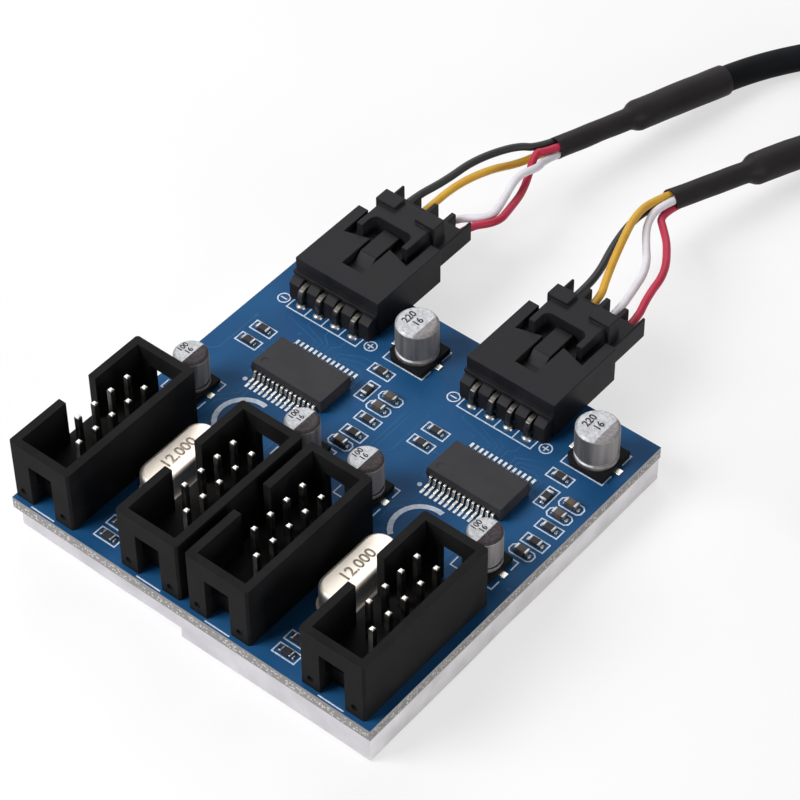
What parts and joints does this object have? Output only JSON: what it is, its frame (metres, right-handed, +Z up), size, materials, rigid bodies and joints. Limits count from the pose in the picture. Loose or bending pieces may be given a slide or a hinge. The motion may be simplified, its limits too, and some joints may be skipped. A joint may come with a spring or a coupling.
{
  "type": "usb header splitter cable",
  "caption": "Internal header splitter: hub circuits on a foam-backed board with shrouded pin headers, fed by latched wire plugs on jacketed cables that end in a keyed main-board socket.",
  "frame": {"origin": "centre of the board's outline, on the underside of the foam pads", "axes": "+X along the board's front edge from left to right, +Y from the shrouded headers to the edge where the cables leave, +Z up out of the board's component side"},
  "size_m": [0.0856, 0.1379, 0.0135],
  "materials": {
    "board_blue": "blue solder mask, semi-gloss",
    "foam_white": "off-white closed-cell foam tape, matt",
    "plastic_black": "moulded thermoplastic, fine satin",
    "chip_black": "moulded epoxy, matt",
    "pin_plated": "tin-plated square pins",
    "tinned_metal": "tinned copper alloy",
    "can_steel": "drawn nickel-plated can",
    "can_aluminium": "drawn aluminium can",
    "ceramic_tan": "tan ceramic, matt",
    "sleeve_black": "shrunk tubing, satin",
    "jacket_black": "vinyl cable jacket, satin",
    "wire_black": "vinyl insulation",
    "wire_yellow": "vinyl insulation",
    "wire_white": "vinyl insulation",
    "wire_red": "vinyl insulation"
  },
  "bodies": {
    "root": {"pcb": "board_blue", "foam_pad_left": "foam_white", "foam_pad_right": "foam_white", "box_header_1": "plastic_black", "header_pins_1": "pin_plated", "box_header_2": "plastic_black", "header_pins_2": "pin_plated", "box_header_3": "plastic_black", "header_pins_3": "pin_plated", "box_header_4": "plastic_black", "header_pins_4": "pin_plated", "hub_chip_left": "chip_black", "hub_chip_leads_left": "tinned_metal", "crystal_can_left": "can_steel", "wire_header_left": "plastic_black", "wire_header_pins_left": "tinned_metal", "wire_plug_left": "plastic_black", "heat_shrink_left": "sleeve_black", "cable_left": "jacket_black", "cable_left_end": "jacket_black", "wire_black_left": "wire_black", "wire_yellow_left": "wire_yellow", "wire_white_left": "wire_white", "wire_red_left": "wire_red", "hub_chip_right": "chip_black", "hub_chip_leads_right": "tinned_metal", "crystal_can_right": "can_steel", "wire_header_right": "plastic_black", "wire_header_pins_right": "tinned_metal", "wire_plug_right": "plastic_black", "heat_shrink_right": "sleeve_black", "cable_right": "jacket_black", "cable_right_end": "jacket_black", "wire_black_right": "wire_black", "wire_yellow_right": "wire_yellow", "wire_white_right": "wire_white", "wire_red_right": "wire_red", "crystal_leads": "tinned_metal", "capacitor_leads": "tinned_metal", "capacitor_can_1": "can_aluminium", "capacitor_base_1": "chip_black", "capacitor_can_2": "can_aluminium", "capacitor_base_2": "chip_black", "capacitor_can_3": "can_aluminium", "capacitor_base_3": "chip_black", "capacitor_can_4": "can_aluminium", "capacitor_base_4": "chip_black", "capacitor_can_5": "can_aluminium", "capacitor_base_5": "chip_black", "capacitor_can_6": "can_aluminium", "capacitor_base_6": "chip_black", "chip_resistors": "chip_black", "chip_capacitors": "ceramic_tan", "chip_ends": "tinned_metal", "plug_terminals": "tinned_metal", "cable_coil": "jacket_black", "far_sleeves": "sleeve_black", "far_wires": "wire_white", "motherboard_plug": "plastic_black", "motherboard_terminals": "tinned_metal"}
  },
  "joints": []
}
